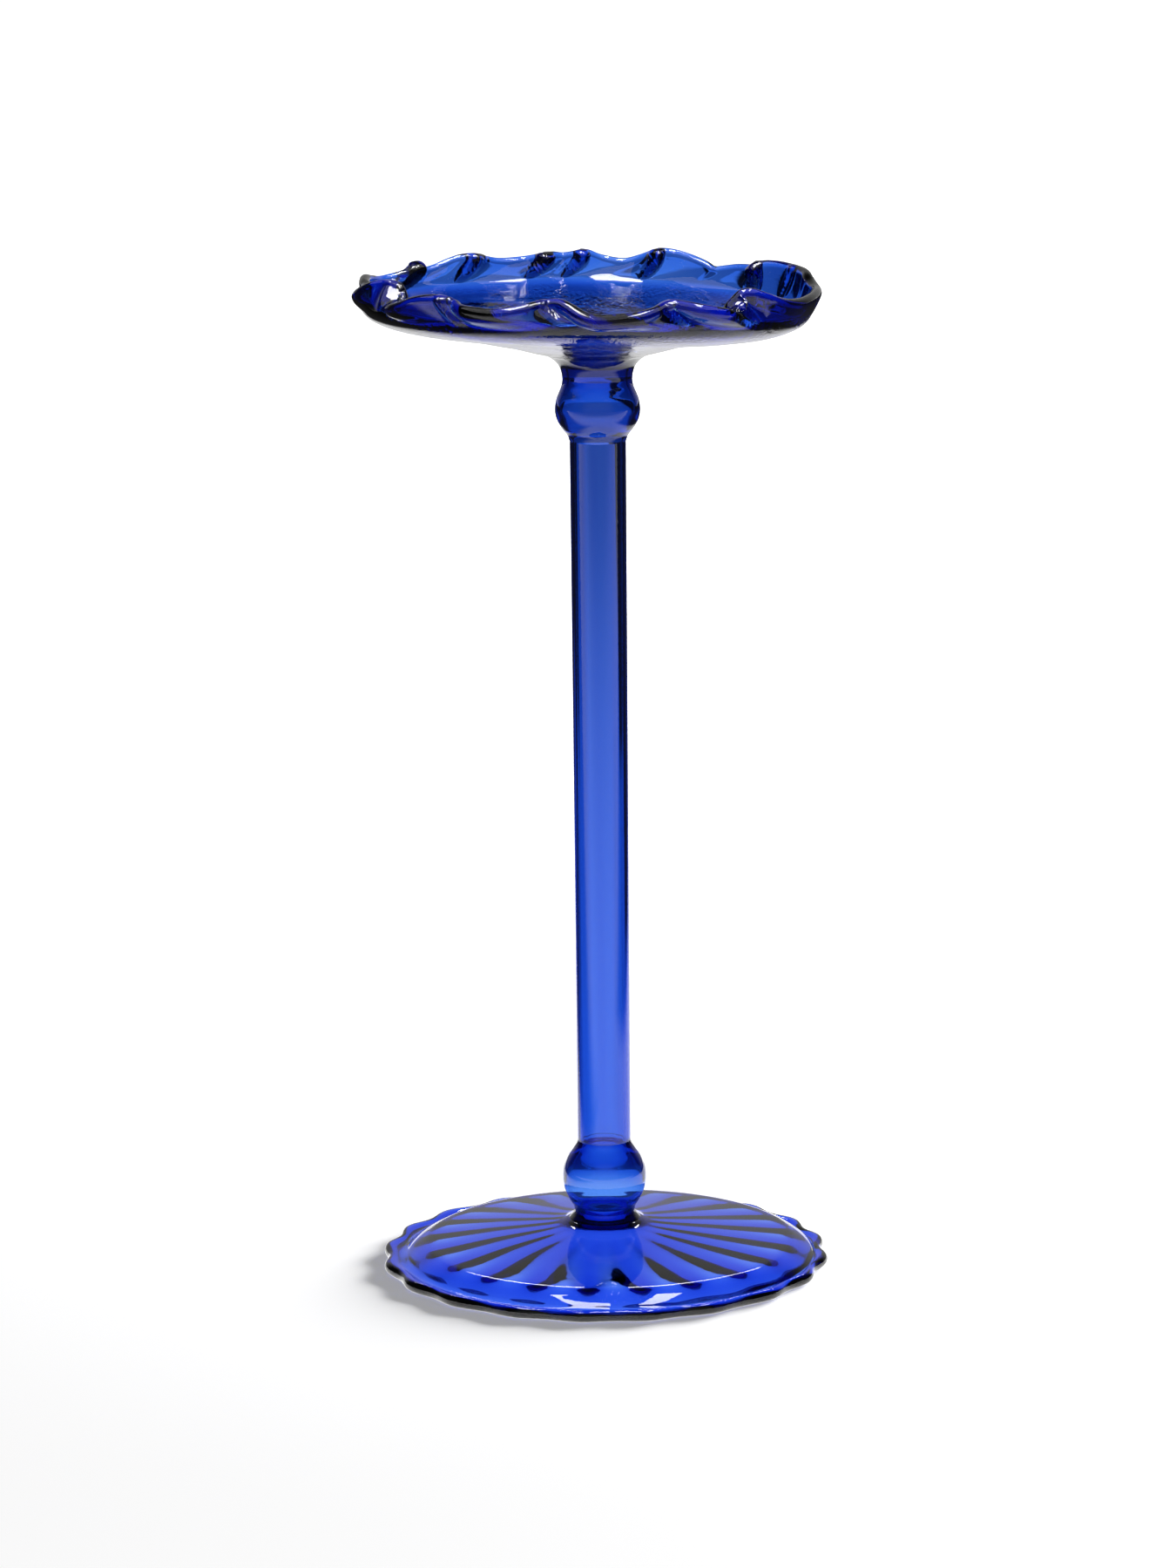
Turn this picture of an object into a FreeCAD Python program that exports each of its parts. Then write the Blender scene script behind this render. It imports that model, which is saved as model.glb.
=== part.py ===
"""Hand-made glass candlestick for a pillar candle: ribbed foot, tall hollow stem, ruffled drip dish.

Millimetres, +Z up. The origin is the middle of the foot's resting plane, on the axis of the stem.
Every piece is blown or drawn on its own and then fused to its neighbour on a flat ring or disc.
"""
import FreeCAD, Part

import math
import os

from FreeCAD import Vector

# ---- heights of the welds, from the resting plane up ----
REST_PLANE = 0.0
FOOT_CROWN = 11.5
COLLAR_TOP = 13.6
STEM_BOTTOM = 31.6
STEM_TOP = 207.8
NECK_BOTTOM = 223.05
DISH_WELD = 229.5

# ---- stem and knops ----
STEM_RADIUS_BOTTOM = 6.62
STEM_RADIUS_TOP = 6.92
STEM_WALL = 1.2
LOWER_KNOP_WALL = 0.65        # at the widest; the glass is thick only where the knop meets the stem
UPPER_KNOP_WALL = 1.25        # at the widest
LOWER_KNOP_RADIUS = 10.45
UPPER_KNOP_RADIUS = 10.45
COLLAR_RADIUS = 8.9
COLLAR_BORE = 6.0
WAIST_RADIUS = 7.53
NECK_RADIUS = 8.57
NECK_WALL = 1.65
FLANGE_RADIUS = 14.0

# ---- foot ----
RIB_COUNT = 20
RIB_PHASE = 8.0
RIB_SWIRL = 3.0
FOOT_SAMPLES_PER_RIB = 8

# ---- drip dish ----
SEAT_RADIUS = 18.0
SEAT_HEIGHT = 232.9
DISH_OFFSET_X = -2.6
DISH_SAG = 2.8                # the floor of the dish sinks by this much towards +X
RIM_MEAN_HEIGHT = 247.0
RIM_LEAN = 0.35
DISH_SAMPLES = 180

# The crimped rim, as (azimuth in degrees, height in mm) of each crest and each dip between crests,
# anticlockwise from +X. The crimps were pinched by hand, so neither spacing nor height is even.
RIM_CRIMPS = (
    (9, 245.7), (27, 248.2), (40, 245.6), (47, 246.7), (55, 245.7), (69, 249.9),
    (79, 246.7), (92, 249.3), (96, 248.3), (99, 248.7), (113, 246.5), (122, 249.6),
    (133, 246.2), (139, 249.1), (148, 247.3), (157, 247.9), (181, 245.7), (209, 249.4),
    (218, 245.9), (234, 248.8), (248, 245.3), (261, 249.3), (274, 244.7), (291, 247.7),
    (301, 245.7), (314, 248.7), (330, 245.1), (345, 245.5),
)

# Half-section of the dish from the weld disc outwards, over the rim and back in to the seat, as
# (radius, height, share of the crimping felt there). The dish also drifts off centre by that share.
DISH_SECTION = (
    (FLANGE_RADIUS, DISH_WELD, 0.0),
    (19.0, 230.8, 0.0),
    (27.0, 232.8, 0.0),
    (38.0, 234.9, 0.0),
    (46.0, 236.7, 0.05),
    (51.6, 238.9, 0.25),
    (55.4, 241.9, 0.65),
    (57.2, 245.6, 1.0),
    (56.9, 247.2, 1.0),
    (55.6, 247.3, 1.0),
    (54.1, 245.8, 0.9),
    (51.6, 243.2, 0.55),
    (47.6, 240.7, 0.15),
    (40.0, 238.2, 0.0),
    (29.0, 235.8, 0.0),
    (22.0, 233.9, 0.0),
    (SEAT_RADIUS, SEAT_HEIGHT, 0.0),
)

# Half-section of the foot from the crown disc outwards, over the rim and back in underneath, as
# (radius, height, height of the ribs, depth of the scallops). The dome is smooth on top; the ribs
# hang from its underside, so they thicken the glass downwards.
GRIND_DEPTH = -0.35
RIM_RADIUS = 55.5
FOOT_SECTION = (
    (COLLAR_RADIUS, FOOT_CROWN, 0.0, 0.0),
    (11.0, 10.6, 0.0, 0.0),
    (15.0, 9.9, 0.0, 0.0),
    (21.0, 9.2, 0.0, 0.0),
    (30.0, 8.15, 0.0, 0.0),
    (40.0, 7.05, 0.0, 0.0),
    (46.5, 6.3, 0.0, 0.0),
    (50.4, 4.6, 0.0, 0.1),
    (53.6, 3.1, 0.1, 0.45),
    (RIM_RADIUS, 2.4, 0.1, 0.8),
    (55.4, 0.9, 0.0, 0.8),
    (54.0, GRIND_DEPTH, 0.0, 0.6),
    (51.8, GRIND_DEPTH, 0.0, 0.3),
    (49.6, 1.35, 0.0, 0.1),
    (46.0, 3.1, -0.15, 0.0),
    (42.5, 4.35, -0.65, 0.0),
    (30.0, 5.65, -0.18, 0.0),
    (20.0, 6.65, -0.07, 0.0),
    (12.0, 7.75, 0.0, 0.0),
)


def eased(start, end, share):
    """A value between start and end that leaves and arrives level."""
    return start + (end - start) * (1 - math.cos(math.pi * share)) / 2


def rim_height(azimuth):
    """Height of the dish's rim at an azimuth in degrees."""
    azimuth = azimuth % 360
    before = (RIM_CRIMPS[-1][0] - 360, RIM_CRIMPS[-1][1])
    for crimp in RIM_CRIMPS + ((RIM_CRIMPS[0][0] + 360, RIM_CRIMPS[0][1]),):
        if azimuth < crimp[0]:
            share = (azimuth - before[0]) / (crimp[0] - before[0])
            return eased(before[1], crimp[1], share)
        before = crimp
    return before[1]


def even_knots(count, periodic, degree=3):
    """Knots and multiplicities of an even spline with this many rows of poles."""
    if periodic:
        return list(range(count + 1)), [1] * (count + 1)
    inner = count - degree - 1
    knots = list(range(inner + 2))
    return knots, [degree + 1] + [1] * inner + [degree + 1]


def closed_skin(rings):
    """A solid whose side is one smooth skin over closed rings of poles, with flat discs at both ends."""
    around, across = len(rings[0]), len(rings)
    poles = [[ring[i] for ring in rings] for i in range(around)]
    u_knots, u_mults = even_knots(around, True)
    v_knots, v_mults = even_knots(across, False)
    skin = Part.BSplineSurface()
    skin.buildFromPolesMultsKnots(poles, u_mults, v_mults, u_knots, v_knots, True, False, 3, 3)
    side = skin.toShape()
    ends = []
    for v in (v_knots[0], v_knots[-1]):
        edge = skin.vIso(v).toShape()
        ends.append(Part.Face(Part.Wire([edge])))
    shell = Part.Shell([side] + ends)
    shell.sewShape()
    solid = Part.makeSolid(shell)
    if solid.Volume < 0:
        solid.reverse()
    return solid


def around_axis(radius, azimuth, height, centre_x=0.0):
    """A point at a radius and azimuth about a vertical axis through centre_x."""
    angle = math.radians(azimuth)
    return Vector(centre_x + radius * math.cos(angle), radius * math.sin(angle), height)


def spline_through(points):
    """A smooth edge in the XZ plane through (radius, height) points."""
    curve = Part.BSplineCurve()
    curve.interpolate([Vector(r, 0, z) for r, z in points])
    return curve.toShape()


def straight(start, end):
    """A straight edge in the XZ plane between two (radius, height) points."""
    return Part.LineSegment(Vector(start[0], 0, start[1]), Vector(end[0], 0, end[1])).toShape()


def turned(edges):
    """The solid made by turning a closed outline in the XZ plane about the Z axis."""
    face = Part.Face(Part.Wire(Part.__sortEdges__(edges)))
    return face.revolve(Vector(0, 0, 0), Vector(0, 0, 1), 360)


def hollow_turned(outer, inner):
    """A turned piece open at both ends, from outer and inner walls listed bottom to top."""
    return turned([
        spline_through(outer),
        straight(outer[-1], inner[-1]),
        spline_through(inner),
        straight(inner[0], outer[0]),
    ])


def foot():
    """Shallow dome, ribbed and hollow underneath, with a thick scalloped rim ground flat where it rests."""
    rings = []
    samples = RIB_COUNT * FOOT_SAMPLES_PER_RIB
    for radius, height, rib_height, scallop_depth in FOOT_SECTION:
        ring = []
        for i in range(samples):
            azimuth = 360.0 * i / samples
            swirl = RIB_SWIRL * radius / RIM_RADIUS
            wave = math.cos(math.radians(RIB_COUNT * (azimuth - RIB_PHASE - swirl)))
            ring.append(around_axis(radius + scallop_depth * wave, azimuth, height + rib_height * wave))
        rings.append(ring)
    dome = closed_skin(rings)
    below = Part.makeBox(200, 200, 10, Vector(-100, -100, REST_PLANE - 10))
    return dome.cut(below)


def foot_collar():
    """Hollow ring of glass that joins the lower knop to the crown of the foot."""
    outer = (
        (COLLAR_RADIUS, FOOT_CROWN),
        (8.3, 12.2),
        (7.8, 12.9),
        (WAIST_RADIUS, COLLAR_TOP),
    )
    inner = ((COLLAR_BORE, FOOT_CROWN), (COLLAR_BORE, COLLAR_TOP))
    return hollow_turned(outer, inner)


def lower_knop():
    """Hollow bulb, open to the collar below and to the stem above."""
    outer = (
        (WAIST_RADIUS, COLLAR_TOP),
        (7.76, 14.7),
        (8.75, 16.3),
        (9.7, 18.3),
        (LOWER_KNOP_RADIUS - 0.15, 20.4),
        (LOWER_KNOP_RADIUS, 22.45),
        (LOWER_KNOP_RADIUS - 0.17, 24.3),
        (9.76, 25.9),
        (9.02, 27.5),
        (8.07, 28.9),
        (7.0, 30.6),
        (STEM_RADIUS_BOTTOM, STEM_BOTTOM),
    )
    bore = STEM_RADIUS_BOTTOM - STEM_WALL
    inner = (
        (COLLAR_BORE, COLLAR_TOP),
        (6.9, 14.9),
        (8.1, 16.6),
        (9.05, 18.3),
        (9.6, 20.3),
        (LOWER_KNOP_RADIUS - LOWER_KNOP_WALL, 22.2),
        (9.65, 23.6),
        (9.0, 25.0),
        (7.9, 26.4),
        (6.7, 27.8),
        (5.8, 29.6),
        (bore, STEM_BOTTOM),
    )
    return hollow_turned(outer, inner)


def stem_tube():
    """Drawn tube, a little thicker at the top than at the bottom."""
    bottom, top = (STEM_RADIUS_BOTTOM, STEM_BOTTOM), (STEM_RADIUS_TOP, STEM_TOP)
    inner_bottom = (STEM_RADIUS_BOTTOM - STEM_WALL, STEM_BOTTOM)
    inner_top = (STEM_RADIUS_TOP - STEM_WALL, STEM_TOP)
    return turned([
        straight(bottom, top),
        straight(top, inner_top),
        straight(inner_top, inner_bottom),
        straight(inner_bottom, bottom),
    ])


def upper_knop():
    """Hollow bulb between the stem and the neck."""
    outer = (
        (STEM_RADIUS_TOP, STEM_TOP),
        (7.54, 209.4),
        (8.67, 210.85),
        (9.77, 212.6),
        (UPPER_KNOP_RADIUS - 0.1, 214.4),
        (UPPER_KNOP_RADIUS, 216.1),
        (10.08, 218.3),
        (9.39, 220.1),
        (8.74, 221.8),
        (NECK_RADIUS, NECK_BOTTOM),
    )
    inner = (
        (STEM_RADIUS_TOP - STEM_WALL, STEM_TOP),
        (6.2, 209.8),
        (7.5, 211.4),
        (8.6, 213.4),
        (UPPER_KNOP_RADIUS - UPPER_KNOP_WALL, 215.6),
        (8.85, 218.0),
        (8.0, 219.8),
        (7.2, 221.7),
        (NECK_RADIUS - NECK_WALL, NECK_BOTTOM),
    )
    return hollow_turned(outer, inner)


def dish_neck():
    """Short hollow neck that flares into a flange under the dish."""
    bore = NECK_RADIUS - NECK_WALL
    outer = (
        (NECK_RADIUS, NECK_BOTTOM),
        (8.72, 224.4),
        (9.3, 226.2),
        (10.3, 227.5),
        (11.9, 228.7),
        (FLANGE_RADIUS, DISH_WELD),
    )
    inner = (
        (bore, NECK_BOTTOM),
        (bore + 0.15, 225.5),
        (bore + 0.6, 227.6),
        (bore + 0.9, DISH_WELD),
    )
    return hollow_turned(outer, inner)


def drip_dish():
    """Shallow dish with a flat seat in the middle and a turned-up wall crimped like a pie crust."""
    rings = []
    for radius, height, share in DISH_SECTION:
        ring = []
        for i in range(DISH_SAMPLES):
            azimuth = 360.0 * i / DISH_SAMPLES
            rise = (rim_height(azimuth) - RIM_MEAN_HEIGHT) * share
            towards_x = max(0.0, math.cos(math.radians(azimuth))) ** 1.5
            outer = min(1.0, max(0.0, (radius - 25) / 20))
            sag = DISH_SAG * towards_x * outer * (1 - share)
            ring.append(around_axis(
                radius - RIM_LEAN * rise,
                azimuth,
                height + rise - sag,
                DISH_OFFSET_X * min(1.0, 2 * share),
            ))
        rings.append(ring)
    return closed_skin(rings)


PIECES = {
    "ribbed_foot": foot,
    "foot_collar": foot_collar,
    "lower_knop": lower_knop,
    "stem_tube": stem_tube,
    "upper_knop": upper_knop,
    "dish_neck": dish_neck,
    "drip_dish": drip_dish,
}

os.makedirs("parts", exist_ok=True)
for name, make in PIECES.items():
    shape = make()
    shape.exportStep(f"parts/{name}.step")
    box = shape.BoundBox
    print(
        f"{name}: {shape.ShapeType} solids {len(shape.Solids)} valid {shape.isValid()}"
        f" volume {shape.Volume:.0f} mm3"
        f" x {box.XMin:.1f}..{box.XMax:.1f} y {box.YMin:.1f}..{box.YMax:.1f} z {box.ZMin:.2f}..{box.ZMax:.2f}"
    )
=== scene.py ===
"""Looks of the hand-made blue glass candlestick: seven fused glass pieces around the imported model.

Shapes are worked out in millimetres from the heights of the CAD pieces and turned into metres at the end.
Heights are counted from the resting plane. Azimuths are in degrees, anticlockwise from +X, so 270 faces
the viewer.
"""

import math

import bpy
import numpy as np
from mathutils import Matrix, Vector, noise


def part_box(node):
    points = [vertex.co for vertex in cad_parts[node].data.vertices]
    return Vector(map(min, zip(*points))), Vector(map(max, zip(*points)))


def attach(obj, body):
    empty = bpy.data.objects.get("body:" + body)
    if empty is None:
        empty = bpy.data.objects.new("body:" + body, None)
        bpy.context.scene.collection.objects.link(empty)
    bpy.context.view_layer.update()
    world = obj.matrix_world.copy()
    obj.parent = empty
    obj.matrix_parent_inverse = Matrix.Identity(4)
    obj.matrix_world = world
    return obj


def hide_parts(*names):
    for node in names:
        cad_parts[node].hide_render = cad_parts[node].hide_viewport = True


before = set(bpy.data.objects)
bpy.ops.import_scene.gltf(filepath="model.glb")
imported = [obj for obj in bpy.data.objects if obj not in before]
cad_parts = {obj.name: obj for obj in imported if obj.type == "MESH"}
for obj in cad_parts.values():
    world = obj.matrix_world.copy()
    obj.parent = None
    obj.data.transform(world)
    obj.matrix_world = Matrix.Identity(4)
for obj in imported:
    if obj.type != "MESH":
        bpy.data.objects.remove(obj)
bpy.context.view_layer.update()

MM = 0.001
WELD_OVERLAP = 0.015          # neighbouring pieces are fused, so each laps a hair into the next
SAME_POINT = 1e-6             # points closer than this count as one
NOISE_LAYER = 7.3             # how far apart the uneven patterns of different seeds lie


def node_span(node):
    """Lowest and highest point of a CAD piece, in millimetres."""
    low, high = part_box(node)
    return low.z / MM, high.z / MM


COLLAR_BOTTOM, COLLAR_TOP = node_span("foot_collar")
KNOP_BOTTOM, KNOP_TOP = node_span("lower_knop")
STEM_BOTTOM, STEM_TOP = node_span("stem_tube")
UPPER_BOTTOM, UPPER_TOP = node_span("upper_knop")
NECK_BOTTOM, NECK_TOP = node_span("dish_neck")


# ------------------------------------------------------------------ helpers
def smooth_line(points, step):
    """Points about step apart on a smooth curve through a list of points of any dimension."""
    points = np.array(points, float)
    chords = np.maximum(np.linalg.norm(np.diff(points, axis=0), axis=1), SAME_POINT) ** 0.5
    knots = np.concatenate([[0.0], np.cumsum(chords)])
    before = points[0] + (points[0] - points[1])
    after = points[-1] + (points[-1] - points[-2])
    padded = np.vstack([before, points, after])
    times = np.concatenate([[knots[0] - chords[0]], knots, [knots[-1] + chords[-1]]])
    line = [points[0]]
    for i in range(1, len(padded) - 2):
        length = np.linalg.norm(padded[i + 1] - padded[i])
        count = max(1, int(math.ceil(length / step)))
        for k in range(1, count + 1):
            t = times[i] + (times[i + 1] - times[i]) * k / count
            line.append(catmull_rom(padded[i - 1:i + 3], times[i - 1:i + 3], t))
    return np.array(line)


def catmull_rom(p, s, t):
    """The point at time t on the smooth curve between the middle two of four points."""
    a1 = ((s[1] - t) * p[0] + (t - s[0]) * p[1]) / (s[1] - s[0])
    a2 = ((s[2] - t) * p[1] + (t - s[1]) * p[2]) / (s[2] - s[1])
    a3 = ((s[3] - t) * p[2] + (t - s[2]) * p[3]) / (s[3] - s[2])
    b1 = ((s[2] - t) * a1 + (t - s[0]) * a2) / (s[2] - s[0])
    b2 = ((s[3] - t) * a2 + (t - s[1]) * a3) / (s[3] - s[1])
    return ((s[2] - t) * b1 + (t - s[1]) * b2) / (s[2] - s[1])


def smoothstep(low, high, value):
    """0 below low, 1 above high, and a smooth rise between."""
    share = np.clip((value - low) / (high - low), 0.0, 1.0)
    return share * share * (3 - 2 * share)


def wobble(x, y, seed):
    """Smooth unevenness between about -1 and 1."""
    return noise.noise(Vector((x, y, NOISE_LAYER * seed)))


def signed_volume(mesh):
    """Volume of a closed mesh, negative where its faces look inwards."""
    mesh.calc_loop_triangles()
    places = [vertex.co for vertex in mesh.vertices]
    total = 0.0
    for triangle in mesh.loop_triangles:
        a, b, c = (places[i] for i in triangle.vertices)
        total += a.dot(b.cross(c)) / 6
    return total


def glass_object(name, vertices, faces, material, node, sharp_angle=35.0):
    """A closed glass mesh from points in millimetres, standing for one CAD piece."""
    mesh = bpy.data.meshes.new(name)
    mesh.from_pydata([tuple(v * MM) for v in vertices], [], faces)
    mesh.validate()
    if signed_volume(mesh) < 0:
        mesh.flip_normals()
    mesh.shade_smooth()
    mesh.set_sharp_from_angle(angle=math.radians(sharp_angle))
    mesh.materials.append(material)
    piece = bpy.data.objects.new(name, mesh)
    bpy.context.scene.collection.objects.link(piece)
    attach(piece, "root")
    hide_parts(node)
    return piece


def grid_faces(rows, columns, rows_close=False):
    """Quads over a grid of rows, each of them a closed ring of columns."""
    faces = []
    for i in range(rows if rows_close else rows - 1):
        below, above = i * columns, ((i + 1) % rows) * columns
        for j in range(columns):
            k = (j + 1) % columns
            faces.append((below + j, below + k, above + k, above + j))
    return faces


def capped_skin(rings):
    """Vertices and faces of a closed skin over rings, whose first and last ring close to a point."""
    rows, columns = rings.shape[:2]
    vertices = rings.reshape(-1, 3)
    first, last = rings[0].mean(axis=0), rings[-1].mean(axis=0)
    vertices = np.vstack([vertices, first, last])
    faces = grid_faces(rows, columns)
    start, end = rows * columns, rows * columns + 1
    top = (rows - 1) * columns
    for j in range(columns):
        k = (j + 1) % columns
        faces.append((start, k, j))
        faces.append((end, top + j, top + k))
    return vertices, faces


def turned_rings(profile, segments, unevenness=None):
    """Rings of points for a (radius, height) profile turned about the stem's axis."""
    rings = np.zeros((len(profile), segments, 3))
    for j in range(segments):
        angle = 2 * math.pi * j / segments
        for i, (radius, height) in enumerate(profile):
            extra = unevenness(radius, angle, height) if unevenness else 0.0
            rings[i, j] = ((radius + extra) * math.cos(angle), (radius + extra) * math.sin(angle), height)
    return rings


def empty_tree(owner):
    """The node tree of a new material or world, cleared."""
    owner.use_nodes = True
    owner.node_tree.nodes.clear()
    return owner.node_tree


def new_node(tree, kind, **settings):
    """A shader node with some of its settings or input values filled in."""
    node = tree.nodes.new(kind)
    for key, value in settings.items():
        if hasattr(node, key):
            setattr(node, key, value)
        else:
            node.inputs[key.replace("_", " ")].default_value = value
    return node


def ramp(tree, value, span, levels, kind="SMOOTHSTEP"):
    """A number that goes from the first to the second level while value crosses the span."""
    node = new_node(tree, "ShaderNodeMapRange", interpolation_type=kind)
    tree.links.new(value, node.inputs["Value"])
    for name, number in zip(("From Min", "From Max", "To Min", "To Max"), (*span, *levels)):
        node.inputs[name].default_value = number
    return node.outputs["Result"]


def product(tree, first, second):
    """The product of two numbers."""
    node = new_node(tree, "ShaderNodeMath", operation="MULTIPLY")
    tree.links.new(first, node.inputs[0])
    tree.links.new(second, node.inputs[1])
    return node.outputs["Value"]


# ------------------------------------------------------------------ glass
SURFACE_TINT = (0.96, 0.975, 1.0, 1.0)
GLASS_IOR = 1.5
RIPPLE_DETAIL = 2.0
COLOUR_MARGIN = 1.02          # keeps the volume's colour just above zero where it absorbs the most

# The floor of the dish is worn by fine pits, drawn out from front to back and deeper in some patches.
PIT_TOP = 240.3               # height above which there are none
PIT_FADE = 2.5                # they die out over this height
PIT_SIZE = 0.75
PIT_STRETCH = 0.35            # the pits are longer from front to back by the inverse of this
PIT_DEPTH = 0.3
PATCH_SIZE = 14.0
PATCH_EDGE = (0.42, 0.58)     # values of the noise between which a patch goes from clear to worn
PATCH_WEAR = (0.15, 1.0)      # share of the pits' depth in a clear and in a worn patch


def cobalt_glass(name, absorbed, ripple_size, ripple_depth, pit_top=None):
    """Clear glass that absorbs these amounts of red, green and blue per millimetre, with faint ripples.

    Below pit_top, a height in millimetres, the surface is also finely pitted.
    """
    material = bpy.data.materials.new(name)
    tree = empty_tree(material)
    output = new_node(tree, "ShaderNodeOutputMaterial")
    shader = new_node(tree, "ShaderNodeBsdfPrincipled", Base_Color=SURFACE_TINT, Roughness=0.0)
    shader.inputs["IOR"].default_value = GLASS_IOR
    shader.inputs["Transmission Weight"].default_value = 1.0
    strongest = max(absorbed) * COLOUR_MARGIN
    kept = [1 - amount / strongest for amount in absorbed]
    volume = new_node(tree, "ShaderNodeVolumeAbsorption", Color=(*kept, 1.0), Density=strongest / MM)
    place = new_node(tree, "ShaderNodeTexCoord").outputs["Object"]
    ripples = new_node(tree, "ShaderNodeTexNoise", Scale=1.0 / (ripple_size * MM), Detail=RIPPLE_DETAIL)
    bump = new_node(tree, "ShaderNodeBump", Strength=1.0, Distance=ripple_depth * MM)
    tree.links.new(place, ripples.inputs["Vector"])
    tree.links.new(ripples.outputs["Fac"], bump.inputs["Height"])
    if pit_top is not None:
        bump = pitted(tree, place, bump, pit_top)
    tree.links.new(bump.outputs["Normal"], shader.inputs["Normal"])
    tree.links.new(shader.outputs["BSDF"], output.inputs["Surface"])
    tree.links.new(volume.outputs["Volume"], output.inputs["Volume"])
    return material


def pitted(tree, place, ripples, top):
    """A second bump over the ripples: patches of fine pits that fade out just below a height."""
    drawn = new_node(tree, "ShaderNodeMapping", Scale=(1.0, PIT_STRETCH, 1.0))
    pits = new_node(tree, "ShaderNodeTexNoise", Scale=1.0 / (PIT_SIZE * MM))
    patches = new_node(tree, "ShaderNodeTexNoise", Scale=1.0 / (PATCH_SIZE * MM))
    split = new_node(tree, "ShaderNodeSeparateXYZ")
    bump = new_node(tree, "ShaderNodeBump", Distance=PIT_DEPTH * MM)
    tree.links.new(place, drawn.inputs["Vector"])
    tree.links.new(drawn.outputs["Vector"], pits.inputs["Vector"])
    tree.links.new(place, patches.inputs["Vector"])
    tree.links.new(place, split.inputs[0])
    fading = ((top - PIT_FADE) * MM, top * MM)
    reach = ramp(tree, split.outputs["Z"], fading, (1.0, 0.0), "LINEAR")
    worn = ramp(tree, patches.outputs["Fac"], PATCH_EDGE, PATCH_WEAR, "LINEAR")
    tree.links.new(pits.outputs["Fac"], bump.inputs["Height"])
    tree.links.new(product(tree, reach, worn), bump.inputs["Strength"])
    tree.links.new(ripples.outputs["Normal"], bump.inputs["Normal"])
    return bump


FOOT_GLASS = cobalt_glass("foot_glass", (1.32, 0.89, 0.15), ripple_size=9.0, ripple_depth=0.005)
STEM_GLASS = cobalt_glass("stem_glass", (1.7, 1.0, 0.24), ripple_size=9.0, ripple_depth=0.006)
DISH_GLASS = cobalt_glass(
    "dish_glass", (1.25, 0.74, 0.165), ripple_size=6.0, ripple_depth=0.012, pit_top=PIT_TOP)


# ------------------------------------------------------------------ stem, knops, collar and neck
SEGMENTS = 256
STEP = 0.25
STEM_STEP = 4.0


def closed_profile(*lines):
    """One outline from lines that follow one another, without doubled corner points."""
    outline = [lines[0][0]]
    for line in lines:
        for point in line:
            if np.linalg.norm(np.array(point) - np.array(outline[-1])) > SAME_POINT:
                outline.append(point)
    if np.linalg.norm(np.array(outline[0]) - np.array(outline[-1])) < SAME_POINT:
        outline.pop()
    return np.array(outline)


def turned_tube(name, outer, inner, material, node, unevenness=None):
    """A turned piece open at both ends, from outer and inner walls listed bottom to top."""
    profile = closed_profile(outer, inner[::-1])
    rings = turned_rings(profile, SEGMENTS, unevenness)
    faces = grid_faces(len(profile), SEGMENTS, rows_close=True)
    return glass_object(name, rings.reshape(-1, 3), faces, material, node)


STEM_WALL = 1.2
NECK_WALL = 1.65
WAIST_RADIUS = 7.53
COLLAR_RADIUS = 8.9
COLLAR_BORE = 6.0
STEM_RADIUS_BOTTOM = 6.62
STEM_RADIUS_TOP = 6.92
NECK_RADIUS = 8.57
FLANGE_RADIUS = 13.95

# Lengthwise streaks in the bore of the stem.
STREAK_DEPTH = 0.11
STREAK_DENSITY = 3.4          # how closely they stand around the bore
STREAK_LENGTH = 300.0
STREAK_SEED = 3


def collar():
    """Hollow ring of glass between the lower knop and the crown of the foot."""
    low = COLLAR_BOTTOM - WELD_OVERLAP
    outer = smooth_line([
        (COLLAR_RADIUS, low),
        (8.3, COLLAR_BOTTOM + 0.7),
        (7.8, COLLAR_BOTTOM + 1.4),
        (WAIST_RADIUS, COLLAR_TOP),
    ], STEP)
    inner = smooth_line([(COLLAR_BORE, low), (COLLAR_BORE, COLLAR_TOP)], STEP)
    return turned_tube("collar_glass", outer, inner, STEM_GLASS, "foot_collar")


def lower_knop():
    """Hollow bulb, thick only where the stem's narrow bore runs down into it."""
    base = KNOP_BOTTOM - WELD_OVERLAP
    bore = STEM_RADIUS_BOTTOM - STEM_WALL
    outer = smooth_line([
        (WAIST_RADIUS, base),
        (7.76, KNOP_BOTTOM + 1.1),
        (8.75, KNOP_BOTTOM + 2.7),
        (9.7, KNOP_BOTTOM + 4.7),
        (10.3, KNOP_BOTTOM + 6.8),
        (10.45, KNOP_BOTTOM + 8.85),
        (10.28, KNOP_BOTTOM + 10.7),
        (9.76, KNOP_BOTTOM + 12.3),
        (9.02, KNOP_BOTTOM + 13.9),
        (8.07, KNOP_BOTTOM + 15.3),
        (7.0, KNOP_BOTTOM + 17.0),
        (STEM_RADIUS_BOTTOM, KNOP_TOP),
    ], STEP)
    inner = smooth_line([
        (COLLAR_BORE, base),
        (6.9, KNOP_BOTTOM + 1.3),
        (8.1, KNOP_BOTTOM + 3.0),
        (9.05, KNOP_BOTTOM + 4.7),
        (9.5, KNOP_BOTTOM + 6.7),
        (9.45, KNOP_BOTTOM + 8.6),
        (9.2, KNOP_BOTTOM + 10.0),
        (8.6, KNOP_BOTTOM + 11.4),
        (7.6, KNOP_BOTTOM + 12.8),
        (6.6, KNOP_BOTTOM + 14.2),
        (5.8, KNOP_BOTTOM + 16.0),
        (bore, KNOP_TOP),
    ], STEP)
    return turned_tube("lower_knop_glass", outer, inner, STEM_GLASS, "lower_knop")


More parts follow.
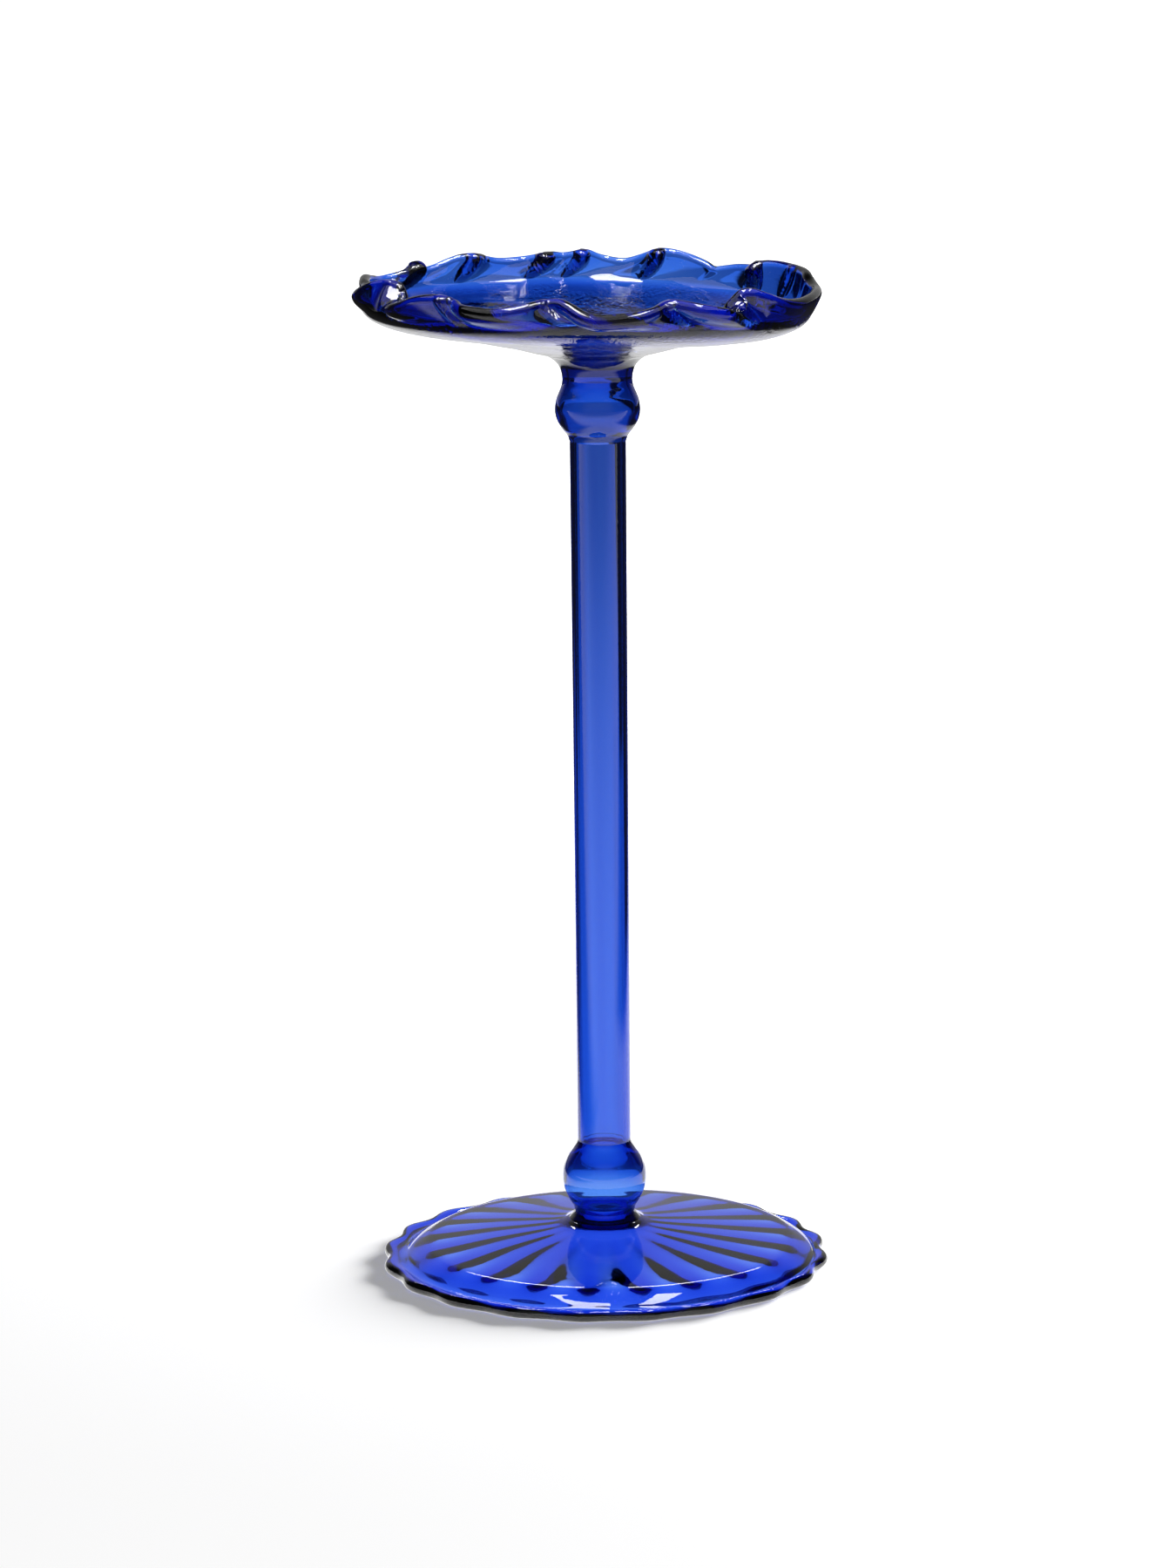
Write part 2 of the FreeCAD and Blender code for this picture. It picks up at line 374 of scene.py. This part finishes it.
def stem():
    """Drawn tube with faint lengthwise streaks in its wall."""
    low, high = STEM_BOTTOM - WELD_OVERLAP, STEM_TOP + WELD_OVERLAP
    outer = smooth_line([(STEM_RADIUS_BOTTOM, low), (STEM_RADIUS_TOP, high)], STEM_STEP)
    bore = [(STEM_RADIUS_BOTTOM - STEM_WALL, low), (STEM_RADIUS_TOP - STEM_WALL, high)]
    inner = smooth_line(bore, STEM_STEP)

    def streaks(radius, angle, height):
        if radius > STEM_RADIUS_BOTTOM - STEM_WALL / 2:
            return 0.0
        x = STREAK_DENSITY * math.cos(angle)
        y = STREAK_DENSITY * math.sin(angle)
        return STREAK_DEPTH * wobble(x, y + height / STREAK_LENGTH, STREAK_SEED)

    return turned_tube("stem_glass_tube", outer, inner, STEM_GLASS, "stem_tube", streaks)


def upper_knop():
    """Hollow bulb between the stem and the neck."""
    outer = smooth_line([
        (STEM_RADIUS_TOP, UPPER_BOTTOM),
        (7.54, UPPER_BOTTOM + 1.6),
        (8.67, UPPER_BOTTOM + 3.05),
        (9.77, UPPER_BOTTOM + 4.8),
        (10.35, UPPER_BOTTOM + 6.6),
        (10.45, UPPER_BOTTOM + 8.3),
        (10.08, UPPER_BOTTOM + 10.5),
        (9.39, UPPER_BOTTOM + 12.3),
        (8.74, UPPER_BOTTOM + 14.0),
        (NECK_RADIUS, UPPER_TOP + WELD_OVERLAP),
    ], STEP)
    inner = smooth_line([
        (STEM_RADIUS_TOP - STEM_WALL, UPPER_BOTTOM),
        (6.2, UPPER_BOTTOM + 2.0),
        (7.5, UPPER_BOTTOM + 3.6),
        (8.6, UPPER_BOTTOM + 5.6),
        (9.2, UPPER_BOTTOM + 7.8),
        (8.85, UPPER_BOTTOM + 10.2),
        (8.0, UPPER_BOTTOM + 12.0),
        (7.2, UPPER_BOTTOM + 13.9),
        (NECK_RADIUS - NECK_WALL, UPPER_TOP + WELD_OVERLAP),
    ], STEP)
    return turned_tube("upper_knop_glass", outer, inner, STEM_GLASS, "upper_knop")


def neck():
    """Short hollow neck that flares into a flange under the dish."""
    top = NECK_TOP + WELD_OVERLAP
    bore = NECK_RADIUS - NECK_WALL
    outer = smooth_line([
        (NECK_RADIUS, NECK_BOTTOM),
        (8.72, NECK_BOTTOM + 1.35),
        (9.3, NECK_BOTTOM + 3.15),
        (10.3, NECK_BOTTOM + 4.45),
        (11.9, NECK_BOTTOM + 5.65),
        (FLANGE_RADIUS, top),
    ], STEP)
    inner = smooth_line([
        (bore, NECK_BOTTOM),
        (bore + 0.15, NECK_BOTTOM + 2.45),
        (bore + 0.6, NECK_BOTTOM + 4.55),
        (bore + 0.9, top),
    ], STEP)
    return turned_tube("neck_glass", outer, inner, STEM_GLASS, "dish_neck")


# ------------------------------------------------------------------ foot
RIB_COUNT = 20
RIB_PHASE = 8.0
RIB_SWIRL = 3.0
RIB_WANDER = 20.0             # degrees of one rib's wave by which the ribs wander from an even spacing
WANDER_DENSITY = 2.0          # how quickly that changes around the foot
RIB_SEED = 11
FOOT_RADIUS = 55.6
FOOT_COLUMNS = RIB_COUNT * 30
FOOT_STEP = 0.6
RESTING = 0.0

# Half-section of the foot from the crown outwards, over the rim and back in underneath, as
# (radius, height, depth of the ribs, depth of the scallops).
FOOT_SECTION = (
    (0.05, COLLAR_BOTTOM, 0.0, 0.0),
    (8.8, COLLAR_BOTTOM, 0.0, 0.0),
    (10.4, 10.85, 0.0, 0.0),
    (13.0, 10.25, 0.0, 0.0),
    (19.0, 9.45, 0.0, 0.0),
    (30.0, 8.15, 0.0, 0.0),
    (40.0, 7.0, 0.0, 0.0),
    (45.4, 6.3, 0.0, 0.0),
    (46.1, 6.12, 0.0, 0.0),
    (46.7, 5.87, 0.0, 0.0),
    (48.0, 5.25, 0.0, 0.0),
    (49.2, 4.55, 0.0, 0.0),
    (50.3, 3.75, 0.0, 0.0),
    (51.2, 2.95, 0.0, 0.0),
    (52.1, 2.55, 0.0, 0.1),
    (53.5, 3.05, 0.06, 0.4),
    (54.7, 2.9, 0.12, 0.7),
    (55.3, 1.8, 0.08, 0.73),
    (54.95, 0.7, 0.0, 0.65),
    (54.0, 0.12, 0.0, 0.5),
    (52.8, 0.05, 0.0, 0.35),
    (51.5, 0.4, 0.0, 0.2),
    (50.0, 1.15, 0.0, 0.1),
    (48.0, 2.15, 0.04, 0.0),
    (46.0, 3.15, 0.12, 0.0),
    (44.6, 3.8, 0.35, 0.0),
    (43.2, 4.25, 0.6, 0.0),
    (41.0, 4.55, 0.66, 0.0),
    (38.0, 4.88, 0.5, 0.0),
    (34.0, 5.28, 0.3, 0.0),
    (30.0, 5.65, 0.18, 0.0),
    (25.0, 6.13, 0.11, 0.0),
    (19.0, 6.75, 0.07, 0.0),
    (14.0, 7.4, 0.03, 0.0),
    (10.0, 8.15, 0.0, 0.0),
    (6.0, 8.9, 0.0, 0.0),
    (3.0, 9.2, 0.0, 0.0),
    (0.05, 9.25, 0.0, 0.0),
)
SHOULDER_SHIFT = (1.2, -0.8)  # the dome's shoulder lies a little off the middle of the rim
SHIFT_GROWS = (25.0, 45.0)    # radii over which this shift grows
SHIFT_FADES = (50.5, 54.0)    # radii over which it dies out


def foot():
    """Shallow dome with ribs underneath, a thick scalloped rim and a ground resting ring."""
    section = smooth_line(FOOT_SECTION, FOOT_STEP)
    rim_row = int(np.argmax(section[:, 0]))
    azimuths = 360.0 * np.arange(FOOT_COLUMNS) / FOOT_COLUMNS
    angles = np.radians(azimuths)
    around = [(WANDER_DENSITY * math.cos(a), WANDER_DENSITY * math.sin(a)) for a in angles]
    wander = [RIB_WANDER * wobble(x, y, RIB_SEED) for x, y in around]
    rings = np.zeros((len(section), FOOT_COLUMNS, 3))
    for i, (radius, height, rib, scallop) in enumerate(section):
        face = 1.0 if i <= rim_row else -1.0
        swirl = RIB_SWIRL * radius / FOOT_RADIUS
        wave = np.cos(np.radians(RIB_COUNT * (azimuths - RIB_PHASE - swirl) + np.array(wander)))
        shift = smoothstep(*SHIFT_GROWS, radius) * (1 - smoothstep(*SHIFT_FADES, radius))
        out = radius + scallop * wave
        rings[i, :, 0] = out * np.cos(angles) + SHOULDER_SHIFT[0] * shift
        rings[i, :, 1] = out * np.sin(angles) + SHOULDER_SHIFT[1] * shift
        rings[i, :, 2] = np.maximum(RESTING, height + face * rib * wave)
    vertices, faces = capped_skin(rings)
    return glass_object("foot_glass_dome", vertices, faces, FOOT_GLASS, "ribbed_foot", 50)


# ------------------------------------------------------------------ dish
DISH_CENTRE_X = -2.6
DISH_COLUMNS = 1200
DISH_STEP = 0.5
DISH_OVAL = 0.99              # the dish is this much narrower from front to back
DISH_DRIFT = (30.0, 50.0)     # radii over which the dish moves off the stem's axis to its own centre
FLAT_RADIUS = 14.5            # both sides of the dish are level within this radius
CRIMP_SLANT = 5.0             # the folds run down aslant, by this many degrees
DISH_SAG = 2.8                # the floor of the dish sinks by this much towards +X
SAG_GROWS = (25.0, 46.0)      # radii over which it sinks
SAG_NARROWING = 1.5           # how closely the sinking keeps to +X

# Middle of the dish's wall from its centre out to the lip, as (radius, height, thickness).
DISH_SECTION = (
    (0.05, 231.2, 3.4),
    (8.0, 231.2, 3.4),
    (13.5, 231.2, 3.4),
    (18.0, 231.75, 2.5),
    (22.0, 232.75, 2.3),
    (29.0, 234.4, 2.5),
    (40.0, 236.8, 2.7),
    (46.0, 238.1, 2.9),
    (50.0, 239.35, 3.0),
    (52.6, 240.7, 2.9),
    (53.9, 242.3, 2.6),
    (54.5, 245.4, 2.9),
)
LIP_RADIUS, LIP_HEIGHT, LIP_THICKNESS = DISH_SECTION[-1]

WALL_FOOT = 241.6             # height at which the crimping begins
FOLDS_FULL = 244.0            # height at which the folds' ridges reach their full height
BEAD_FOOT = 243.0             # height at which the front of the wall begins to thicken

# Folds pressed together while the glass was soft, which stand out as thick ridges down both sides of
# the wall, as (azimuth at the lip, height of the ridge, half its width in degrees).
FOLDS = (
    (20.0, 0.8, 2.0), (33.0, 1.6, 1.8), (69.5, 1.8, 1.6), (91.0, 1.8, 1.6), (101.0, 2.0, 1.9),
    (122.0, 1.2, 2.4), (146.5, 1.2, 2.6), (200.0, 1.0, 2.2), (231.0, 1.2, 1.4), (258.0, 0.7, 1.4),
    (291.0, 1.1, 1.2), (313.5, 1.3, 1.5),
)
FOLD_NARROWING = 1.2          # above 1, the ridges are narrower at the top than a straight slope

# The lip is bolder in front: around this azimuth and over this spread, its bead is this share thicker.
FRONT_AZIMUTH = 285.0
FRONT_SPREAD = 40.0
FRONT_SHARE = 0.3
FRONT_PULL = 1.5              # a bead of twice the thickness would be drawn inwards by this much

# Unevenness of the dish's glass, added on both sides.
FLOOR_WAVES = 0.13
WAVES_GROW = (18.0, 30.0)     # radii over which it grows
WAVE_DENSITY = 3.5            # how closely the waves stand around the dish
WAVE_LENGTHS = (6.0, 8.0)     # how long they are outwards, for the noise's x and y
WAVE_SEED = 5

# The crimped lip, as (azimuth, radius from the dish's middle, height of its top). The crimps were
# pinched inwards and upwards by hand, so each is a little different.
LIP = (
    (0, 55.9, 245.6), (5, 55.4, 246.4), (9, 55.0, 247.6), (13, 55.2, 248.2), (20, 54.8, 248.6),
    (27, 53.2, 249.0), (31, 51.6, 248.9), (33.5, 50.0, 248.3), (35.5, 50.2, 247.2), (37, 53.2, 246.8),
    (40, 55.4, 246.8), (47, 56.0, 246.6), (52, 55.6, 245.9), (54, 55.2, 245.7), (57, 55.8, 246.8),
    (61, 55.6, 248.2), (65, 54.6, 249.4), (68, 53.4, 249.9), (70.5, 52.6, 249.7), (72.5, 54.4, 249.0),
    (76, 55.7, 247.8), (80, 55.9, 246.9), (86, 55.6, 247.9), (89, 54.2, 249.2), (91, 53.0, 249.5),
    (93, 53.6, 249.0), (96, 55.0, 248.5), (98.5, 54.0, 248.9), (101, 52.8, 248.9), (103, 54.0, 248.4),
    (106, 55.6, 247.8), (113, 55.9, 247.6), (117, 55.2, 248.4), (119.5, 53.4, 249.2), (122.5, 52.6, 249.6),
    (126, 53.0, 249.5), (129, 54.4, 248.6), (133, 55.6, 247.2), (137, 55.8, 246.8), (141, 54.8, 247.8),
    (143.5, 52.0, 249.2), (145.5, 50.2, 249.4), (148, 50.0, 248.8), (150, 51.6, 247.6), (153, 54.6, 246.6),
    (156, 55.6, 246.4), (162, 55.6, 247.2), (168, 55.2, 248.0), (173, 54.4, 247.6), (177, 53.4, 247.0),
    (181, 54.0, 246.2), (186, 55.6, 245.8), (190, 55.4, 247.0), (194, 53.8, 248.6), (198, 50.6, 249.6),
    (202, 48.4, 249.0), (204.5, 48.2, 247.2), (206.5, 50.0, 245.6), (209, 53.0, 245.0), (213, 55.4, 245.4),
    (218, 56.0, 246.4), (223, 55.8, 247.8), (228, 55.2, 248.6), (232, 54.2, 248.5), (234.2, 53.2, 247.6),
    (236.2, 54.4, 247.0), (240, 56.0, 246.6), (247, 56.4, 246.3), (252, 55.6, 246.8), (255.5, 54.2, 247.6),
    (257.5, 52.2, 248.1), (260, 50.9, 248.2), (263, 51.5, 248.3), (265.5, 53.4, 247.6), (268.5, 55.4, 246.2),
    (272, 56.5, 245.1), (277, 56.5, 245.2), (283, 56.2, 245.6), (287, 54.8, 246.3), (290, 53.0, 247.1),
    (292.5, 51.7, 247.6), (295, 52.9, 247.4), (300, 55.6, 246.4), (306, 56.2, 245.2), (310, 55.2, 244.4),
    (312.3, 53.4, 245.0), (313.8, 51.6, 246.8), (315.6, 51.4, 248.4), (318, 52.8, 248.8), (322, 54.6, 247.4),
    (328, 55.6, 245.6), (336, 55.9, 244.9), (345, 56.0, 245.1), (352, 56.0, 245.4),
)
LIP_STEP = 0.3
BEAD_STEPS = 12               # steps around the rounded edge of the lip


def lip_line():
    """A dense smooth line through the crimped lip, from a little before azimuth 0 to a little after 360."""
    before = [(a - 360, r, z) for a, r, z in LIP[-3:]]
    after = [(a + 360, r, z) for a, r, z in LIP[:3]]
    line = smooth_line(before + list(LIP) + after, LIP_STEP)
    return line[np.argsort(line[:, 0])]


def lip_offsets(line, azimuths):
    """How far the lip stands outwards and upwards of a plain circular one, at these azimuths."""
    around = np.mod(azimuths, 360.0)
    radius = np.interp(around, line[:, 0], line[:, 1])
    height = np.interp(around, line[:, 0], line[:, 2])
    return radius - LIP_RADIUS, height - LIP_THICKNESS / 2 - LIP_HEIGHT


def fold_ridges(azimuths):
    """Height of the folds' ridges at these azimuths."""
    ridges = np.zeros(len(azimuths))
    for azimuth, height, half_width in FOLDS:
        away = np.abs(np.mod(azimuths - azimuth + 180.0, 360.0) - 180.0) / half_width
        ridges += height * (1.0 - np.minimum(away, 1.0)) ** FOLD_NARROWING
    return ridges


def glass_waves(radius, angles):
    """Unevenness of the dish's glass on one ring."""
    long_x, long_y = WAVE_LENGTHS
    waves = []
    for angle in angles:
        x = WAVE_DENSITY * math.cos(angle) + radius / long_x
        y = WAVE_DENSITY * math.sin(angle) - radius / long_y
        waves.append(wobble(x, y, WAVE_SEED))
    return FLOOR_WAVES * np.array(waves) * smoothstep(*WAVES_GROW, radius)


def surface_normals(grid):
    """Unit normals of a grid of rings that are closed around, and its steps from ring to ring."""
    around = np.roll(grid, -1, axis=1) - np.roll(grid, 1, axis=1)
    across = np.gradient(grid, axis=0)
    normals = np.cross(around, across)
    return normals / np.linalg.norm(normals, axis=2, keepdims=True), across


def dish_wall(section, azimuths, bolder):
    """Rings along the middle of the dish's wall, and half the wall's thickness at each of their points."""
    line = lip_line()
    angles = np.radians(azimuths)
    sag = DISH_SAG * np.maximum(0.0, np.cos(angles)) ** SAG_NARROWING
    middle = np.zeros((len(section), DISH_COLUMNS, 3))
    half = np.zeros((len(section), DISH_COLUMNS, 1))
    for i, (radius, height, thick) in enumerate(section):
        share = smoothstep(WALL_FOOT, LIP_HEIGHT, height)
        slanted = azimuths - CRIMP_SLANT * (1 - share)
        outwards, upwards = lip_offsets(line, slanted)
        drift = DISH_CENTRE_X * smoothstep(*DISH_DRIFT, radius)
        out = radius + (outwards - FRONT_PULL * bolder) * share
        lift = (upwards - bolder * LIP_THICKNESS / 2) * share
        middle[i, :, 0] = out * np.cos(angles) + drift
        middle[i, :, 1] = out * np.sin(angles) * DISH_OVAL
        middle[i, :, 2] = height + lift - sag * smoothstep(*SAG_GROWS, radius) * (1 - share)
        ridges = fold_ridges(slanted) * smoothstep(WALL_FOOT, FOLDS_FULL, height)
        half[i, :, 0] = thick / 2 + ridges + glass_waves(radius, angles)
        half[i, :, 0] *= 1 + bolder * smoothstep(BEAD_FOOT, LIP_HEIGHT, height)
    return middle, half


def lip_bead(middle, normals, half, across, bolder):
    """Rings of the lip's rounded edge, from the inside of the wall over to the outside."""
    edge = across / np.linalg.norm(across, axis=1, keepdims=True)
    edge *= (1 + bolder)[:, None] * LIP_THICKNESS / 2
    bead = []
    for k in range(1, BEAD_STEPS):
        turn = math.pi * k / BEAD_STEPS
        bead.append(middle + math.cos(turn) * normals * half + math.sin(turn) * edge)
    return np.array(bead)


def dish():
    """Shallow dish with a crimped, round-edged wall."""
    section = smooth_line(DISH_SECTION, DISH_STEP)
    azimuths = 360.0 * np.arange(DISH_COLUMNS) / DISH_COLUMNS
    bolder = FRONT_SHARE * np.exp(-((azimuths - FRONT_AZIMUTH) / FRONT_SPREAD) ** 2)
    middle, half = dish_wall(section, azimuths, bolder)
    normals, across = surface_normals(middle)
    if normals[2, 0, 2] < 0:
        normals = -normals
    normals[section[:, 0] < FLAT_RADIUS] = (0, 0, 1)
    inside = middle + normals * half
    under = middle - normals * half
    bead = lip_bead(middle[-1], normals[-1], half[-1], across[-1], bolder)
    vertices, faces = capped_skin(np.concatenate([inside, bead, under[::-1]]))
    return glass_object("dish_glass_bowl", vertices, faces, DISH_GLASS, "drip_dish", 60)


PIECES = [foot(), collar(), lower_knop(), stem(), upper_knop(), neck(), dish()]


# ------------------------------------------------------------------ stage, in metres
# Each ramp is (where it starts and ends, the level there).
FLOOR_RADIUS = 9.0
FLOOR_SIDES = 96
FLOOR_DROP = 0.0002           # the floor lies a hair under the foot
FLOOR_PAINT = (0.8, 0.8, 0.8, 1)
FLOOR_GLOW = ((0.15, 0.9), (0.3, 1.0))  # glow of the white floor, by distance from the object

# The glass sees a strip of lit table, where x runs to the right and y away from the viewer.
TABLE_DARK = 0.03
STRIP_LEFT = ((-0.15, -0.08), (TABLE_DARK, 1.0))
STRIP_RIGHT = ((0.2, 0.28), (1.0, TABLE_DARK))
STRIP_WIDENING = 0.2          # the left side moves out by this much per metre away from the viewer
LIT_ACROSS = ((-0.2, -0.06), (1.0, 0.0))  # in front, the table is lit over its whole width
STRIP_BACK = ((0.1, 1.5), (1.45, 0.66))   # it dims away behind the object,
STRIP_FRONT = ((-1.4, 0.0), (0.2, 1.0))   # and towards the viewer,
STRIP_FAR = ((2.5, 2.9), (1.0, 1.8))      # and is bright again far behind


def floor_seen(tree, distance):
    """Plain white paint that also glows, as the camera sees the floor."""
    paint = new_node(tree, "ShaderNodeBsdfDiffuse", Color=FLOOR_PAINT)
    even = new_node(tree, "ShaderNodeEmission")
    tree.links.new(ramp(tree, distance, *FLOOR_GLOW), even.inputs["Strength"])
    seen = new_node(tree, "ShaderNodeAddShader")
    tree.links.new(paint.outputs["BSDF"], seen.inputs[0])
    tree.links.new(even.outputs["Emission"], seen.inputs[1])
    return seen.outputs["Shader"]


def lit_strip(tree, across, along):
    """A strip of lit table that widens away from the viewer, as the glass sees the floor."""
    widening = new_node(tree, "ShaderNodeMath", operation="MULTIPLY_ADD")
    widening.inputs[1].default_value = STRIP_WIDENING
    tree.links.new(along, widening.inputs[0])
    tree.links.new(across, widening.inputs[2])
    left = ramp(tree, widening.outputs["Value"], *STRIP_LEFT)
    right = ramp(tree, across, *STRIP_RIGHT)
    strip = new_node(tree, "ShaderNodeMath", operation="MAXIMUM")
    tree.links.new(product(tree, left, right), strip.inputs[0])
    tree.links.new(ramp(tree, along, *LIT_ACROSS), strip.inputs[1])
    level = product(tree, ramp(tree, along, *STRIP_BACK), ramp(tree, along, *STRIP_FRONT))
    level = product(tree, level, ramp(tree, along, *STRIP_FAR))
    pool = new_node(tree, "ShaderNodeEmission")
    tree.links.new(product(tree, strip.outputs["Value"], level), pool.inputs["Strength"])
    return pool.outputs["Emission"]


def floor_material():
    """White for the camera, and a strip of light on a dark table for the glass."""
    material = bpy.data.materials.new("floor_white")
    tree = empty_tree(material)
    output = new_node(tree, "ShaderNodeOutputMaterial")
    place = new_node(tree, "ShaderNodeTexCoord").outputs["Object"]
    distance = new_node(tree, "ShaderNodeVectorMath", operation="LENGTH")
    tree.links.new(place, distance.inputs[0])
    split = new_node(tree, "ShaderNodeSeparateXYZ")
    tree.links.new(place, split.inputs[0])
    path = new_node(tree, "ShaderNodeLightPath")
    mix = new_node(tree, "ShaderNodeMixShader")
    tree.links.new(path.outputs["Is Camera Ray"], mix.inputs["Fac"])
    tree.links.new(lit_strip(tree, split.outputs["X"], split.outputs["Y"]), mix.inputs[1])
    tree.links.new(floor_seen(tree, distance.outputs["Value"]), mix.inputs[2])
    tree.links.new(mix.outputs["Shader"], output.inputs["Surface"])
    return material


def stage_floor():
    """A wide round floor under the foot."""
    mesh = bpy.data.meshes.new("floor")
    turns = [2 * math.pi * k / FLOOR_SIDES for k in range(FLOOR_SIDES)]
    corners = [(FLOOR_RADIUS * math.cos(turn), FLOOR_RADIUS * math.sin(turn), 0.0) for turn in turns]
    mesh.from_pydata(corners, [], [tuple(range(FLOOR_SIDES))])
    floor = bpy.data.objects.new("floor", mesh)
    floor.location.z = -FLOOR_DROP
    bpy.context.scene.collection.objects.link(floor)
    mesh.materials.append(floor_material())


# The room around the table, by direction: z runs up and y away from the viewer.
BACKDROP = ((0.2, 0.9), (0.48, 0.08))   # the backdrop glows less towards the top,
BEHIND = ((0.55, 0.9), (0.0, 1.0))      # lies behind the object
HORIZON = ((-0.01, 0.015), (2.4, 1.0))  # and is brighter below the horizon
ROOM_GLOW = ((-0.9, -0.6), (0.22, 0.0))  # the viewer's side of the room
ROOM_DARK = 0.03


def studio_world():
    """A pale backdrop behind the object in a dark room; plain white where the camera looks past the floor."""
    world = bpy.data.worlds.new("studio")
    bpy.context.scene.world = world
    tree = empty_tree(world)
    output = new_node(tree, "ShaderNodeOutputWorld")
    place = new_node(tree, "ShaderNodeTexCoord")
    split = new_node(tree, "ShaderNodeSeparateXYZ")
    tree.links.new(place.outputs["Generated"], split.inputs[0])
    away, up = split.outputs["Y"], split.outputs["Z"]
    glow = product(tree, ramp(tree, up, *BACKDROP), ramp(tree, up, *HORIZON))
    ends = new_node(tree, "ShaderNodeMath", operation="ADD")
    tree.links.new(product(tree, glow, ramp(tree, away, *BEHIND)), ends.inputs[0])
    tree.links.new(ramp(tree, away, *ROOM_GLOW), ends.inputs[1])
    room = new_node(tree, "ShaderNodeMath", operation="ADD")
    room.inputs[1].default_value = ROOM_DARK
    tree.links.new(ends.outputs["Value"], room.inputs[0])
    path = new_node(tree, "ShaderNodeLightPath")
    mix = new_node(tree, "ShaderNodeMix", data_type="FLOAT")
    mix.inputs["B"].default_value = 1.0
    tree.links.new(path.outputs["Is Camera Ray"], mix.inputs["Factor"])
    tree.links.new(room.outputs["Value"], mix.inputs["A"])
    background = new_node(tree, "ShaderNodeBackground")
    tree.links.new(mix.outputs["Result"], background.inputs["Strength"])
    tree.links.new(background.outputs["Background"], output.inputs["Surface"])


def softbox(name, place, target, size, power):
    """A soft rectangular light of this width and length, aimed at a point and hidden from the camera."""
    light = bpy.data.lights.new(name, "AREA")
    light.shape = "RECTANGLE"
    light.size, light.size_y = size
    light.energy = power
    lamp = bpy.data.objects.new(name, light)
    lamp.location = place
    lamp.rotation_euler = (Vector(target) - Vector(place)).to_track_quat("-Z", "Y").to_euler()
    lamp.visible_camera = False
    lamp.visible_transmission = False
    bpy.context.scene.collection.objects.link(lamp)
    return lamp


def piece_group(name, pieces):
    """A collection of pieces that a light can be limited to."""
    group = bpy.data.collections.new(name)
    for piece in pieces:
        group.objects.link(piece)
    return group


CEILINGS = (("ceiling_left", -0.18, 0.36), ("ceiling_right", 0.36, 0.18))  # name, x and width
CEILING_HEIGHT = 1.5
CEILING_LENGTH = 0.95
FOOT_POWER = 42.0             # watts per metre of a ceiling light's width, for the foot
UPPER_POWER = 57.0            # and for everything above it


def studio_lights():
    """Two long ceiling lights, a wide dim one for the dish, a narrow one behind and one for the shadow."""
    foot_only = piece_group("foot_only", PIECES[:1])
    upper_glass = piece_group("upper_glass", PIECES[1:])
    dish_only = piece_group("dish_only", PIECES[-1:])
    for name, x, width in CEILINGS:
        for group, power in ((foot_only, FOOT_POWER), (upper_glass, UPPER_POWER)):
            place, target = (x, 0.0, CEILING_HEIGHT), (x, 0.0, 0.0)
            size = (width, CEILING_LENGTH)
            ceiling = softbox(f"{name}_{group.name}", place, target, size, power * width)
            ceiling.light_linking.receiver_collection = group
    wide_ceiling = softbox("wide_ceiling", (0.0, -0.5, 1.9), (0.0, -0.5, 0.0), size=(3.6, 3.0), power=34.0)
    wide_ceiling.light_linking.receiver_collection = dish_only
    back_strip = softbox("back_strip", (0.05, 1.5, 1.12), (0.0, 0.0, 0.0), size=(1.0, 0.1), power=3.5)
    back_strip.light_linking.receiver_collection = foot_only
    shadow_light = softbox("shadow_light", (1.5, 1.3, 0.62), (0.0, 0.0, 0.12), size=(1.4, 0.8), power=150.0)
    shadow_light.visible_glossy = False
    shadow_light.light_linking.blocker_collection = foot_only


stage_floor()
studio_world()
studio_lights()


# ------------------------------------------------------------------ camera, in metres and degrees
CAMERA_PLACE = (-0.0032, -1.3634, 0.3945)
CAMERA_DOWN = 11.29
CAMERA_ROLL = -0.549


def camera():
    """Long lens, a little above the dish, looking slightly down."""
    lens = bpy.data.cameras.new("camera")
    lens.lens = 129.0
    lens.sensor_width = 36.0
    view = bpy.data.objects.new("camera", lens)
    pitch = math.radians(90 - CAMERA_DOWN)
    roll = math.radians(CAMERA_ROLL)
    turn = Matrix.Rotation(pitch, 4, "X") @ Matrix.Rotation(roll, 4, "Z")
    view.matrix_world = Matrix.Translation(CAMERA_PLACE) @ turn
    bpy.context.scene.collection.objects.link(view)
    bpy.context.scene.camera = view


def light_paths():
    """Plain colours, and enough bounces for light to get through several layers of glass."""
    scene = bpy.context.scene
    scene.view_settings.view_transform = "Standard"
    scene.cycles.transmission_bounces = 24
    scene.cycles.max_bounces = 32
    scene.cycles.glossy_bounces = 12


camera()
light_paths()
